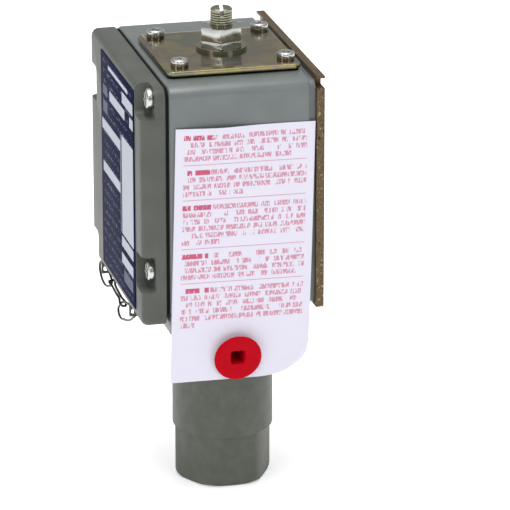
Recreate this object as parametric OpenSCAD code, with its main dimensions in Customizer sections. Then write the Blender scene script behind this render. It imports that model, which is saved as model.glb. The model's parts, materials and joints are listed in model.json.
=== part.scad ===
// Piston-operated pressure switch. The origin is the centre of the pressure port's mouth,
// +Z runs up the port's axis, the cover faces -Y and the mounting plate lies at +Y.

/* [Enclosure] */
// Width of the enclosure along X
box_w = 104; // [98:1:126]
// Height of the cover
box_h = 106; // [102:1:128]
// Distance of the enclosure's middle from the port's axis along X
box_dx = -6.5; // [-8:0.5:-5]
// Height of the cover's lower edge above the port's mouth
box_z = 87.3; // [86:0.1:100]
// Depth of the housing, from its front rim to its back
housing_d = 64; // [62:1:80]
// Distance of the housing's front rim before the port's axis
rim_y = 33.6; // [33:0.1:38]
// How much higher the housing's floor lies than the cover's lower edge
floor_lift = 3.2; // [2:0.1:5]
// Thickness of the housing's walls
wall = 3.2; // [2.8:0.1:4]
// Thickness of the housing's back wall
back_wall = 5; // [4.5:0.1:6]
// Radius of the enclosure's long edges
corner_r = 5; // [3:0.5:7]

/* [Cover] */
// Depth of the cover
cover_d = 10.7; // [10:0.1:13]
// Thickness of the cover's front
cover_wall = 2.8; // [2.4:0.1:3.5]
// Radius of the cover's front edges
cover_r = 3; // [1.5:0.5:4]
// Thickness of the gasket under the cover
gasket_t = 1.4; // [1:0.1:2]
// Width of the corner pockets that hold the cover screws
pocket_w = 12.5; // [11:0.5:14]
// Height of the corner pockets
pocket_h = 16; // [14:0.5:18]
// Thickness left under each cover screw's head
pocket_floor = 4.5; // [3.5:0.1:5]
// Height of the outermost screws from the cover's middle
screw_hi = 47.4; // [46:0.1:48]
// Height of the inner screws from the cover's middle
screw_lo = 29.3; // [26:0.1:30]
// Distance of the cover screws from the cover's side
screw_in = 6.7; // [6:0.1:7.5]
// Radius of the cover screws' shanks
cover_screw_r = 1.95; // [1.6:0.05:2.2]
// Radius of the cover screws' heads
cover_head_r = 4.6; // [3.8:0.1:4.8]
// Width of the nameplate
name_w = 69; // [60:1:72]
// Height of the nameplate
name_h = 97; // [80:1:98]

/* [Mounting plate] */
// Thickness of the mounting plate
plate_t = 3.5; // [3:0.1:4.5]
// How far the mounting plate stands out past each side of the housing
plate_over = 1; // [0.5:0.1:2]
// Spacing of the four mounting holes along X
mount_x = 60; // [50:1:64]
// Spacing of the four mounting holes along Z
mount_z = 60; // [50:1:64]
// Radius of the mounting holes
mount_r = 3.3; // [2.6:0.1:3.6]
// Height of the open notches in the plate's edges
notch_h = 4.4; // [3:0.1:5]
// Depth of the open notches
notch_d = 7; // [5:0.5:9]

/* [Top plate] */
// Width of the top plate along X
top_w = 61; // [58:1:64]
// Width of the top plate along Y
top_d = 58.5; // [56:0.5:60]
// Thickness of the top plate
top_t = 1.9; // [1.5:0.1:2.5]
// Thickness of the gasket under the top plate
top_gasket_t = 1.2; // [0.8:0.1:1.6]
// Spacing of the top plate's four screws
top_screw_gap = 46.6; // [44:0.2:48]

/* [Range adjustment] */
// Radius of the range screw
range_r = 4.76; // [4:0.01:5.2]
// Pitch of the range screw's thread
range_pitch = 1.058; // [0.9:0.001:1.5]
// Height of the range screw's top above the top plate
range_up = 18.1; // [16:0.1:20]
// Width of the lock nut across its flats
nut_af = 17.1; // [15:0.1:18]
// Height of the lock nut
nut_h = 8.9; // [6:0.1:10]
// Radius of the washer under the lock nut
washer_r = 11; // [10:0.1:12]
// Thickness of the washer under the lock nut
washer_t = 1.4; // [1:0.1:2]
// Outer radius of the range spring
spring_r = 9.8; // [8.5:0.1:10]
// Diameter of the range spring's wire
spring_wire = 2.4; // [1.6:0.1:2.8]
// Turns in the range spring
spring_turns = 7; // [5:1:9]

/* [Actuator] */
// Diameter of the actuator's body
act_d = 44.45; // [40:0.05:48]
// Width of the actuator's hexagon across its flats
hex_af = 38.1; // [34:0.1:41]
// Height of the hexagon
hex_h = 23.7; // [20:0.1:28]
// Diameter of the round body that the hexagon's flats are cut in
hex_d = 42.8; // [39:0.1:44]
// Radius of the pressure port
port_r = 5.6; // [5:0.1:7.2]
// Depth of the pressure port
port_depth = 14; // [12:0.5:15]
// Radius of the piston
piston_r = 6.35; // [5:0.05:7]
// Length of the piston
piston_l = 24; // [18:1:30]
// Travel of the piston
piston_travel = 0.8; // [0.6:0.1:1]
// Radius of the piston rod
rod_r = 3; // [2.5:0.1:3.2]
// Radial clearance of the moving rods and screws
run_gap = 0.05; // [0.02:0.01:0.08]
// Height of the drain hole above the pressure port's mouth
drain_z = 71.6; // [70:0.1:73]
// Distance of the drain hole's axis before the port's axis
drain_off = 4.6; // [0:0.1:5]
// Radius of the drain hole
drain_r = 4.25; // [3.6:0.05:4.6]
// Radius of the drain plug's flange
plug_r = 10.5; // [9:0.1:11]

/* [Tag and chain] */
// Width of the paper tag
tag_w = 61; // [50:1:62]
// Height of the paper tag
tag_h = 114; // [90:1:116]
// Lean of the paper tag, in degrees
tag_turn = 1.5; // [0:0.5:2]
// Thickness of the paper tag
tag_t = 0.3; // [0.2:0.05:0.5]
// Diameter of the chain's wire
chain_wire = 1.1; // [0.8:0.1:1.4]

/* [Hidden] */
$fn = 64;
e = 0.01;
box_x0 = box_dx - box_w/2;
box_x1 = box_dx + box_w/2;
box_z1 = box_z + box_h;
box_zc = box_z + box_h/2;
floor_z = box_z + floor_lift;
back_y = housing_d - rim_y;
cavity_y = back_y - back_wall;
cavity_z1 = box_z1 - wall;
cover_back = -rim_y - gasket_t;
cover_front = cover_back - cover_d;
pocket_y = cover_back - pocket_floor;
// Cover screws as [side, height]: the pattern is the same when the cover is turned half round.
cover_screws_at = [[1, box_zc + screw_hi], [1, box_zc - screw_lo],
                   [-1, box_zc + screw_lo], [-1, box_zc - screw_hi]];
boss_w = 13;
boss_l = 15;
top_z = box_z1 + top_gasket_t;
top_face = top_z + top_t;
top_cx = 1.6;
top_cy = -1.8;
top_sy = -0.6;
top_shank_r = 1.9;
top_head_r = 3.8;
top_head_h = 2.5;
lock_t = 0.9;
range_top = top_face + range_up;
nut_z = top_face + washer_t;
bush_r = 8;
bush_z = box_z1 - 15;
seat_r = 10.4;
seat_t = 4;
seat_low = 111;
seat_up = bush_z - 9.3;
screw_tip = seat_up + seat_t;
slot_w = 1.5;
slot_d = 3;
act_r = act_d/2;
flange_z = floor_z - 8.5;
flange_r = 24;
rebate_in = 1.4;
rebate_y = 2.6;
neck_r = 13;
drain_boss_r = 9.8;
neck_top = floor_z + 10.5;
locknut_af = 32;
seal_t = 0.8;
bore_top = drain_z + 6;
guide_r = 8;
guide_z = floor_z - 4.5;
piston_z = port_depth + 2.4;
pin_y = 18;
pin_z = seat_low + 11;
pin_r = 2;
ear_x = 16;
ear_t = 2;
arm_x = 13;
arm_t = 2.4;
arm_low = seat_low + 3.3;
lug_r = 1.2;
button_y = -22;
button_r = 2.4;
bar_top = arm_low + 3.7;
sw_z = seat_low + 11;
sw_h = 28;
sw_w = 46;
sw_front = -30;
sw_back = -13.3;
bracket_t = 2;
post_x = 32;
post_z = sw_z + 14;
post_r = 4;
knob_x = 26.6;
knob_r = 5;
drain_y = -drain_off;
drain_x = box_x1 + 0.1;
tag_x = box_x1 + 0.3;
tag_y = -2;
tag_zc = drain_z - 10.3 + tag_h/2;
lip_z = box_z - 4.3;
lip_d = 9;
hub_r = 15;
hub_l = 8;
hub_y = 2;
hub_z = box_zc - 10;
conduit_r = 10.4;
chain_y = cover_front + 3.2;
chain_z = box_z - 3.4;
chain_a = -45;
link_l = [18.6, 31, 24];
link_w = [7.4, 5, 9];
chain_b = 13;
lug_t = 1.6;

// Points of a rectangle with rounded corners, centred on the origin
function round_pts(w, h, r, n = 6) = [for (q = [0:3]) for (i = [0:n])
    let (a = 90*q + 90*i/n, sx = (q == 0 || q == 3) ? 1 : -1, sy = q < 2 ? 1 : -1)
    [sx*(w/2 - r) + r*cos(a), sy*(h/2 - r) + r*sin(a)]];

// A rounded bar that runs along Y, between two places on Y
module y_bar(x, z, w, h, r, y0, y1) {
    translate([x, y1, z]) rotate([90, 0, 0]) linear_extrude(y1 - y0) polygon(round_pts(w, h, r));
}

// A block given by its two corners
module block(a, b) {
    translate(a) cube([b[0] - a[0], b[1] - a[1], b[2] - a[2]]);
}

// Round rods along each axis, from one place to another
module rod_x(r, x0, x1, y, z) { translate([x0, y, z]) rotate([0, 90, 0]) cylinder(r = r, h = x1 - x0); }
module rod_y(r, y0, y1, x, z) { translate([x, y1, z]) rotate([90, 0, 0]) cylinder(r = r, h = y1 - y0); }
module rod_z(r, z0, z1, x = 0, y = 0) { translate([x, y, z0]) cylinder(r = r, h = z1 - z0); }

function screw_x(side) = box_dx + side*(box_w/2 - screw_in);

// The corner pockets of the cover, open to the side and to the front
module pockets() {
    for (s = cover_screws_at)
        y_bar(box_dx + s[0]*(box_w/2 - pocket_w/2 + 4), s[1], pocket_w + 8, pocket_h, 3,
              cover_front - 1, pocket_y);
}

// A pan-headed screw along -Y with a cross slot; y is the head's seat
module pan_screw_y(x, y, z, r, l, head_r, head_h) {
    difference() {
        union() {
            rod_y(r, y - e, y + l, x, z);
            translate([x, y, z]) rotate([90, 0, 0]) cylinder(r1 = head_r, r2 = head_r*0.82, h = head_h);
        }
        for (a = [20, 110]) translate([x, y - head_h, z]) rotate([0, a, 0])
            cube([head_r*1.2, 2*head_h*0.55, head_r*0.26], center = true);
    }
}

// A pan-headed screw along +Z with a cross slot; z is the head's seat
module pan_screw_z(x, y, z, r, l, head_r, head_h) {
    translate([x, y, z]) rotate([-90, 0, 0]) pan_screw_y(0, 0, 0, r, l, head_r, head_h);
}

module housing() {
    color("slategray") difference() {
        union() {
            y_bar(box_dx, (floor_z + box_z1)/2, box_w, box_z1 - floor_z, corner_r, -rim_y, back_y - rebate_y);
            y_bar(box_dx, (floor_z + box_z1)/2, box_w - 2*rebate_in, box_z1 - floor_z - 2*rebate_in,
                  corner_r - rebate_in, back_y - rebate_y - 1, back_y);
            block([box_x0 + 1, -rim_y, lip_z], [box_x1 - 0.2, -rim_y + lip_d, floor_z + 1]);
            rod_x(hub_r, box_x0 - hub_l, box_x0 + 2, hub_y, hub_z);
        }
        difference() {
            block([box_x0 + wall, -rim_y - 1, floor_z + wall], [box_x1 - wall, cavity_y, cavity_z1]);
            for (s = cover_screws_at) translate([screw_x(s[0]) - boss_w/2, -rim_y - 1, s[1] - boss_w/2])
                cube([boss_w, boss_l + 1, boss_w]);
            for (i = [-1, 1], j = [-1, 1])
                rod_z(4.5, cavity_z1 - 6, cavity_z1 + 1, i*top_screw_gap/2, top_sy + j*top_screw_gap/2);
            for (i = [-1, 1]) rod_y(post_r, sw_back + bracket_t, cavity_y + 1, i*post_x, post_z);
        }
        for (s = cover_screws_at) rod_y(cover_screw_r + run_gap, -rim_y - 1, -rim_y + 13, screw_x(s[0]), s[1]);
        for (i = [-1, 1], j = [-1, 1]) rod_z(top_shank_r + run_gap, cavity_z1 - 7, box_z1 + 1,
            i*top_screw_gap/2, top_sy + j*top_screw_gap/2);
        for (i = [-1, 1]) rod_y(1.7, sw_back, sw_back + 12, i*post_x, post_z);
        rod_z(bush_r + 0.1, cavity_z1 - 1, box_z1 + 1);
        rod_z(neck_r + 0.2, floor_z - 1, floor_z + wall + 1);
        rod_x(conduit_r, box_x0 - hub_l - 1, box_x0 + wall + 1, hub_y, hub_z);
        for (i = [-1, 1], j = [-1, 1]) {
            rod_y(mount_r + 0.7, back_y - 3.5, back_y + 1, box_dx + i*mount_x/2, box_zc + j*mount_z/2);
            rod_y(2.1, back_y - 4, back_y + 1, box_dx + i*(box_w/2 - 9), box_zc + j*(mount_z/2 + 11));
        }
        for (i = [-1, 1]) rod_y(1.6, cavity_y - 1, cavity_y + 3.5, i*12, pin_z + 8);
        rod_z(1.7, floor_z - 1, floor_z + wall + 1, box_x0 + 18, 14);
    }
}

module cover() {
    color("slategray") difference() {
        union() {
            intersection() {
                y_bar(box_dx, box_zc, box_w, box_h, corner_r, cover_front, cover_back);
                translate([box_dx, cover_back + 20, box_z - 1])
                    linear_extrude(box_h + 2) polygon(round_pts(box_w, 2*(cover_d + 20), cover_r));
                translate([box_x0 - 1, cover_back + 20, box_zc]) rotate([90, 0, 90])
                    linear_extrude(box_w + 2) polygon(round_pts(2*(cover_d + 20), box_h, cover_r));
            }
            for (x = [chain_a, chain_b]) difference() {
                block([x - lug_t/2, chain_y - 2.2, chain_z - 2.4], [x + lug_t/2, cover_back, box_z + 1.5]);
                rod_x(1.5, x - 2, x + 2, chain_y, chain_z);
            }
        }
        block([box_x0 + pocket_w + 3, cover_front + cover_wall, box_z + wall],
              [box_x1 - pocket_w - 3, cover_back + 1, box_z1 - wall]);
        pockets();
        for (s = cover_screws_at) rod_y(cover_screw_r + 0.25, pocket_y - 1, cover_back + 1, screw_x(s[0]), s[1]);
    }
}

module cover_gasket() {
    color("black") difference() {
        y_bar(box_dx, box_zc + floor_lift/2, box_w - 1.6, box_h - floor_lift - 1.6, corner_r - 0.8,
              cover_back, -rim_y);
        block([box_x0 + pocket_w + 3, cover_back - 1, floor_z + wall + 1],
              [box_x1 - pocket_w - 3, -rim_y + 1, box_z1 - wall - 1]);
        for (s = cover_screws_at) rod_y(cover_screw_r + 0.25, cover_back - 1, -rim_y + 1, screw_x(s[0]), s[1]);
    }
}

module cover_screws() {
    color("silver") for (s = cover_screws_at)
        pan_screw_y(screw_x(s[0]), pocket_y, s[1], cover_screw_r, 17, cover_head_r, 3);
}

module nameplate() {
    color("midnightblue") y_bar(box_dx + 4, box_zc + 0.5, name_w, name_h, 1.5, cover_front - 0.5, cover_front);
}

module mounting_plate() {
    color("darkkhaki") difference() {
        block([box_x0 - plate_over, back_y, floor_z + 0.5],
              [box_x1 + plate_over, back_y + plate_t, box_z1 + 1.3]);
        for (i = [-1, 1], j = [-1, 1]) {
            rod_y(mount_r, back_y - 1, back_y + plate_t + 1, box_dx + i*mount_x/2, box_zc + j*mount_z/2);
            rod_y(2.4, back_y - 1, back_y + plate_t + 1, box_dx + i*(box_w/2 - 9), box_zc + j*(mount_z/2 + 11));
            translate([box_dx + i*(box_w/2 - 9), back_y + plate_t - 2.2, box_zc + j*(mount_z/2 + 11)])
                rotate([-90, 0, 0]) cylinder(r1 = 2.4, r2 = 4.7, h = 2.3);
        }
        for (i = [-1, 1]) translate([box_dx + i*(box_w/2 + plate_over), back_y + plate_t/2, box_z1 - 1.9])
            cube([2*notch_d, plate_t + 2, notch_h], center = true);
    }
}

module plate_screws() {
    color("silver") for (i = [-1, 1], j = [-1, 1])
        translate([box_dx + i*(box_w/2 - 9), back_y + plate_t - 2.3, box_zc + j*(mount_z/2 + 11)])
            rotate([-90, 0, 0]) difference() {
                union() {
                    cylinder(r1 = 2.1, r2 = 4.4, h = 2.2);
                    translate([0, 0, -4.4]) cylinder(r = 2, h = 4.5);
                }
                translate([-5, -0.5, 1.2]) cube([10, 1, 2]);
            }
}

module top_outline(h, inset = 0) {
    linear_extrude(h) polygon(round_pts(top_w - 2*inset, top_d - 2*inset, 3 - inset));
}

module top_plate() {
    color("darkkhaki") difference() {
        translate([top_cx, top_cy, top_z]) top_outline(top_t);
        rod_z(bush_r + 0.1, top_z - 1, top_face + 1);
        for (i = [-1, 1], j = [-1, 1])
            rod_z(top_shank_r + 0.3, top_z - 1, top_face + 1, i*top_screw_gap/2, top_sy + j*top_screw_gap/2);
    }
}

module top_gasket() {
    color("black") difference() {
        translate([top_cx, top_cy, box_z1]) top_outline(top_gasket_t, 0.8);
        rod_z(bush_r + 0.1, box_z1 - 1, top_z + 1);
        for (i = [-1, 1], j = [-1, 1])
            rod_z(top_shank_r + 0.3, box_z1 - 1, top_z + 1, i*top_screw_gap/2, top_sy + j*top_screw_gap/2);
    }
}

module top_screws() {
    color("silver") for (i = [-1, 1], j = [-1, 1])
        pan_screw_z(i*top_screw_gap/2, top_sy + j*top_screw_gap/2, top_face + lock_t,
                    top_shank_r, 11, top_head_r, top_head_h);
}

module lock_washers() {
    color("gold") for (i = [-1, 1], j = [-1, 1])
        translate([i*top_screw_gap/2, top_sy + j*top_screw_gap/2, top_face]) difference() {
            cylinder(r = 3.9, h = lock_t);
            translate([0, 0, -1]) cylinder(r = top_shank_r + 0.2, h = lock_t + 2);
            rotate(35) translate([2, -0.3, -1]) cube([3, 0.6, lock_t + 2]);
        }
}

module range_bushing() {
    color("goldenrod") difference() {
        union() {
            rod_z(bush_r, bush_z, top_face);
            rod_z(12, cavity_z1 - 4, cavity_z1);
        }
        rod_z(range_r + run_gap, bush_z - 1, top_face + 1);
    }
}

// The range screw is turned down between its thread's crests, one groove for each pitch.
module range_screw() {
    groove = 0.45;
    color("silver") difference() {
        union() {
            rod_z(range_r, screw_tip, range_top - 0.6);
            translate([0, 0, range_top - 0.6 - e]) cylinder(r1 = range_r, r2 = range_r - 0.6, h = 0.6 + e);
        }
        for (z = [screw_tip + 1.5 : range_pitch : range_top - 1.5]) translate([0, 0, z])
            rotate_extrude() polygon([[range_r - groove, 0], [range_r + 1, -0.8], [range_r + 1, 0.8]]);
        rotate(-10) translate([-8, -slot_w/2, range_top - slot_d]) cube([16, slot_w, slot_d + 1]);
    }
}

module seal_washer() {
    color("silver") difference() {
        rod_z(washer_r, top_face, nut_z);
        rod_z(range_r + 0.15, top_face - 1, nut_z + 1);
    }
}

// The corners of the lock nut are cut back by a cone at each end.
module lock_nut() {
    corner = nut_af/2/cos(30);
    color("silver") difference() {
        intersection() {
            translate([0, 0, nut_z + 0.02]) rotate(-14) cylinder(r = corner, h = nut_h, $fn = 6);
            translate([0, 0, nut_z]) cylinder(r1 = nut_af/2 + 0.2, r2 = nut_af/2 + nut_h, h = nut_h + 0.1);
            translate([0, 0, nut_z]) cylinder(r1 = nut_af/2 + nut_h, r2 = nut_af/2 + 0.2, h = nut_h + 0.1);
        }
        rod_z(range_r + run_gap, nut_z - 1, nut_z + nut_h + 1);
    }
}

module upper_spring_seat() {
    color("silver") union() {
        rod_z(seat_r, seat_up, screw_tip - 0.03);
        rod_z(spring_r - spring_wire - 0.4, seat_up - 3, seat_up + e);
    }
}

module lower_spring_seat() {
    color("silver") difference() {
        union() {
            rod_z(seat_r, seat_low, seat_low + seat_t);
            rod_z(spring_r - spring_wire - 0.4, seat_low + seat_t - e, seat_low + seat_t + 3);
            rod_x(lug_r, -arm_x - arm_t - 0.6, arm_x + arm_t + 0.6, 0, arm_low - 0.1 - lug_r);
        }
        rod_z(rod_r + 0.02, seat_low - 1, seat_low + 2.5);
    }
}

// One pass of wire round the coil's axis: eight sides, with flat closed ends
module range_spring() {
    n = 24;
    rings = spring_turns*n;
    r = spring_r - spring_wire/2;
    z0 = seat_low + seat_t + spring_wire/2 + 0.1;
    rise = seat_up - seat_low - seat_t - spring_wire - 0.2;
    pts = [for (i = [0:rings]) for (k = [0:7])
        let (t = i/rings, a = 360*i/n, q = 45*k, lift = min(max((t*spring_turns - 1)/(spring_turns - 2), 0), 1),
             p = r + spring_wire/2*cos(q))
        [p*cos(a), p*sin(a), z0 + rise*lift*0.86 + rise*0.14*t + spring_wire/2*sin(q)]];
    sides = [for (i = [0:rings - 1]) for (k = [0:7])
        let (a = 8*i + k, b = 8*i + (k + 1)%8) each [[a, a + 8, b], [b, a + 8, b + 8]]];
    ends = [[for (k = [0:7]) k], [for (k = [7:-1:0]) 8*rings + k]];
    color("dimgray") polyhedron(points = pts, faces = concat(sides, ends));
}

module actuator_body() {
    color("slategray") difference() {
        union() {
            intersection() {
                rotate(30) cylinder(r = hex_af/2/cos(30), h = hex_h + 1, $fn = 6);
                cylinder(r1 = hex_af/2 - 0.4, r2 = hex_af/2 - 0.4 + 2*hex_h, h = hex_h + 1);
                cylinder(r = hex_d/2, h = hex_h + 1);
            }
            rod_z(act_r, hex_h, flange_z + 1);
            rod_z(flange_r, flange_z, floor_z - seal_t);
            rod_z(neck_r, floor_z - seal_t - 1, neck_top);
            rod_x(drain_boss_r, 10, drain_x, drain_y, drain_z);
        }
        rod_z(port_r, -1, port_depth);
        rod_z(3, port_depth - 1, port_depth + 3);
        rod_z(piston_r + run_gap, port_depth + 2, bore_top);
        rod_z(rod_r + 1, bore_top - 1, neck_top + 1);
        rod_z(guide_r + 0.02, guide_z, neck_top + 1);
        rod_x(drain_r, 0, drain_x + 1, drain_y, drain_z);
    }
}

module actuator_gasket() {
    color("black") difference() {
        rod_z(flange_r - 2, floor_z - seal_t, floor_z);
        rod_z(neck_r + 0.2, floor_z - seal_t - 1, floor_z + 1);
    }
}

module actuator_locknut() {
    color("darkkhaki") difference() {
        translate([0, 0, floor_z + wall]) cylinder(r = locknut_af/2/cos(30), h = 6, $fn = 6);
        rod_z(neck_r + 0.05, floor_z + wall - 1, floor_z + wall + 7);
    }
}

module rod_guide() {
    color("goldenrod") difference() {
        rod_z(guide_r, guide_z, neck_top);
        rod_z(rod_r + run_gap, guide_z - 1, neck_top + 1);
    }
}

module piston() {
    color("silver") difference() {
        rod_z(piston_r, piston_z, piston_z + piston_l);
        translate([0, 0, piston_z + 4]) difference() {
            cylinder(r = piston_r + 1, h = 3);
            translate([0, 0, -1]) cylinder(r = piston_r - 1.8, h = 5);
        }
        rod_z(rod_r + 0.02, piston_z + piston_l - 8, piston_z + piston_l + 1);
    }
}

module piston_seal() {
    color("black") difference() {
        rod_z(piston_r + 0.02, piston_z + 4.1, piston_z + 6.9);
        rod_z(piston_r - 1.78, piston_z + 3, piston_z + 8);
    }
}

module piston_rod() {
    color("silver") rod_z(rod_r, piston_z + piston_l - 8, seat_low + 2.5);
}

// Two arms joined by the bar that lifts the switch's button
module lever() {
    color("darkkhaki") difference() {
        union() {
            for (s = [-1, 1]) {
                x0 = s > 0 ? arm_x : -arm_x - arm_t;
                block([x0, button_y - 4, arm_low], [x0 + arm_t, pin_y, arm_low + 5]);
                block([x0, pin_y - 5, arm_low], [x0 + arm_t, pin_y + 4, pin_z + 4]);
            }
            block([-arm_x - e, button_y - 4, arm_low], [arm_x + e, button_y + 4, bar_top]);
            block([-arm_x - e, pin_y - 5, arm_low], [arm_x + e, pin_y - 3, arm_low + 5]);
        }
        rod_x(pin_r + run_gap, -arm_x - arm_t - 1, arm_x + arm_t + 1, pin_y, pin_z);
    }
}

module lever_pin() {
    color("silver") rod_x(pin_r, -ear_x - ear_t - 1.4, ear_x + ear_t + 1.4, pin_y, pin_z);
}

module pin_clips() {
    color("dimgray") for (s = [-1, 1]) difference() {
        rod_x(4, s*(ear_x + ear_t + 0.6) - 0.4, s*(ear_x + ear_t + 0.6) + 0.4, pin_y, pin_z);
        rod_x(pin_r + 0.02, -40, 40, pin_y, pin_z);
        block([-40, pin_y - 1.6, pin_z - 6], [40, pin_y + 1.6, pin_z]);
    }
}

module lever_bracket() {
    color("darkkhaki") difference() {
        union() {
            block([-ear_x - ear_t, cavity_y - 2, pin_z - 6], [ear_x + ear_t, cavity_y, pin_z + 12]);
            for (s = [-1, 1]) block([s > 0 ? ear_x : -ear_x - ear_t, pin_y - 5, pin_z - 6],
                                    [s > 0 ? ear_x + ear_t : -ear_x, cavity_y, pin_z + 6]);
        }
        rod_x(pin_r + 0.02, -40, 40, pin_y, pin_z);
        for (i = [-1, 1]) rod_y(1.8, cavity_y - 3, cavity_y + 1, i*12, pin_z + 8);
    }
}

module bracket_screws() {
    color("silver") for (i = [-1, 1]) {
        pan_screw_y(i*12, cavity_y - 2, pin_z + 8, 1.55, 5.2, 3, 2);
        pan_screw_y(i*post_x, sw_back, post_z, 1.65, 11, 3.4, 2.2);
    }
}

module switch_bracket() {
    color("darkkhaki") difference() {
        union() {
            block([-post_x - 5, sw_back, post_z - 8], [post_x + 5, sw_back + bracket_t, post_z + 8]);
            block([sw_w/2 + 0.2, button_y - 5, post_z - 8], [knob_x + 5, sw_back + e, post_z - 6]);
        }
        for (i = [-1, 1]) {
            rod_y(1.9, sw_back - 1, sw_back + bracket_t + 1, i*post_x, post_z);
            rod_y(1.5, sw_back - 1, sw_back + bracket_t + 1, i*(sw_w/2 - 3), post_z + 5);
        }
        rod_z(2.02, post_z - 9, post_z - 5, knob_x, button_y);
    }
}

module switch_base() {
    color("saddlebrown") difference() {
        block([-sw_w/2, sw_front, sw_z], [sw_w/2, sw_back, sw_z + sw_h]);
        block([-sw_w/2 + 4, sw_front - 1, sw_z + 3], [sw_w/2 - 4, sw_back - 4, sw_z + 17]);
        rod_z(button_r + run_gap, sw_z - 1, sw_z + 4, 0, button_y);
        for (i = [-1, 1]) rod_y(1.5, sw_front - 1, sw_back + 1, i*(sw_w/2 - 3), post_z + 5);
        for (i = [-1.5 : 1 : 1.5]) rod_z(1.5, sw_z + sw_h - 8, sw_z + sw_h + 1, i*11, button_y);
    }
}

module switch_cover() {
    color("sienna") difference() {
        block([-sw_w/2, sw_front - 1.5, sw_z], [sw_w/2, sw_front, sw_z + sw_h]);
        for (i = [-1, 1]) rod_y(1.6, sw_front - 2, sw_front + 1, i*(sw_w/2 - 3), post_z + 5);
    }
}

module switch_screws() {
    color("silver") for (i = [-1, 1])
        pan_screw_y(i*(sw_w/2 - 3), sw_front - 1.5, post_z + 5, 1.45, sw_back + bracket_t - sw_front + 1.2, 2.8, 1.8);
}

module switch_button() {
    color("firebrick") union() {
        rod_z(button_r, bar_top + 0.15, sw_z + 8, 0, button_y);
        rod_z(button_r + 1.2, sw_z + 4.1, sw_z + 5.1, 0, button_y);
    }
}

module snap_blade() {
    color("goldenrod") union() {
        block([-sw_w/2 + 5, button_y - 3, sw_z + 10.2], [sw_w/2 - 5, button_y + 3, sw_z + 10.6]);
        for (i = [-1, 1]) rod_z(1.6, sw_z + 9.2, sw_z + 11.6, i*(sw_w/2 - 8), button_y);
        block([-3, button_y, sw_z + 10.2], [3, sw_back - 4, sw_z + 10.6]);
    }
}

module fixed_contacts() {
    color("goldenrod") for (i = [-1, 1]) union() {
        block([i*(sw_w/2 - 8) - 3, button_y - 3, sw_z + 15], [i*(sw_w/2 - 8) + 3, button_y + 3, sw_z + 17]);
        rod_z(1.6, sw_z + 13.2, sw_z + 15 + e, i*(sw_w/2 - 8), button_y);
    }
}

module terminal_plates() {
    color("goldenrod") for (i = [-1.5 : 1 : 1.5]) difference() {
        block([i*11 - 4, button_y - 6, sw_z + sw_h], [i*11 + 4, button_y + 6, sw_z + sw_h + 1]);
        rod_z(1.7, sw_z + sw_h - 1, sw_z + sw_h + 2, i*11, button_y);
    }
}

module terminal_screws() {
    color("silver") for (i = [-1.5 : 1 : 1.5])
        pan_screw_z(i*11, button_y, sw_z + sw_h + 1, 1.45, 8, 3.2, 2.2);
}

module differential_stud() {
    color("silver") rod_z(2, sw_z - 12, post_z - 4, knob_x, button_y);
}

module differential_knob() {
    color("goldenrod") translate([knob_x, button_y, sw_z - 8]) difference() {
        cylinder(r = knob_r, h = 5);
        translate([0, 0, -1]) cylinder(r = 2 + run_gap, h = 7);
        for (a = [0:15:345]) rotate(a) translate([knob_r, 0, -1]) cylinder(r = 0.5, h = 7, $fn = 4);
    }
}

module ground_screw() {
    color("green") pan_screw_z(box_x0 + 18, 14, floor_z + wall, 1.65, 3.6, 3.6, 2.4);
}

// Soft push-in plug: a flange, and a hollow stem that enters the drain hole
module drain_plug() {
    stem = 9;
    face = tag_x + tag_t + 0.1;
    color("crimson") difference() {
        union() {
            rod_x(plug_r, face, face + 3.2, drain_y, drain_z);
            translate([face - stem, drain_y, drain_z]) rotate([0, 90, 0])
                cylinder(r1 = drain_r - 0.6, r2 = drain_r - 0.1, h = stem + e);
        }
        translate([face - stem + 1.5, drain_y, drain_z]) rotate([0, 90, 0])
            cylinder(r1 = 2, r2 = 4, h = stem + 1.71);
    }
}

// The tag hangs flat on the housing's side, leans a little and is pinned by the drain plug.
module hang_tag() {
    color("lavender") difference() {
        translate([tag_x, tag_y, tag_zc]) rotate([-tag_turn, 0, 0])
            translate([0, -tag_w/2, -tag_h/2]) cube([tag_t, tag_w, tag_h]);
        rod_x(drain_r + 0.4, tag_x - 5, tag_x + 5, drain_y, drain_z);
    }
}

// A stadium loop of wire, drawn in the XY plane
module loop(l, w, wire) {
    r = w/2 - wire/2;
    for (s = [-1, 1]) {
        translate([s*(l/2 - w/2), 0, 0]) rotate(s > 0 ? -90 : 90)
            rotate_extrude(angle = 180, $fn = 32) translate([r, 0]) circle(d = wire, $fn = 16);
        translate([-l/2 + w/2 - e, s*r, 0]) rotate([0, 90, 0]) cylinder(d = wire, h = l - w + 2*e, $fn = 16);
    }
}

module chain_link_1() {
    color("silver") translate([chain_a + 7.1, chain_y, chain_z - 2.6]) rotate([90, 0, 0])
        loop(link_l[0], link_w[0], chain_wire);
}

module chain_link_2() {
    color("silver") translate([-18.6, chain_y, chain_z - 2.6]) loop(link_l[1], link_w[1], chain_wire);
}

module chain_link_3() {
    color("silver") translate([chain_b - 8.9, chain_y, chain_z - 3.4]) rotate([90, 0, 0])
        loop(link_l[2], link_w[2], chain_wire);
}

housing();
cover();
cover_gasket();
cover_screws();
nameplate();
mounting_plate();
plate_screws();
top_plate();
top_gasket();
top_screws();
lock_washers();
range_bushing();
range_screw();
seal_washer();
lock_nut();
upper_spring_seat();
range_spring();
lower_spring_seat();
actuator_body();
actuator_gasket();
actuator_locknut();
rod_guide();
piston();
piston_seal();
piston_rod();
lever();
lever_pin();
pin_clips();
lever_bracket();
bracket_screws();
switch_bracket();
switch_base();
switch_cover();
switch_screws();
switch_button();
snap_blade();
fixed_contacts();
terminal_plates();
terminal_screws();
differential_stud();
differential_knob();
ground_screw();
drain_plug();
hang_tag();
chain_link_1();
chain_link_2();
chain_link_3();
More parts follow.
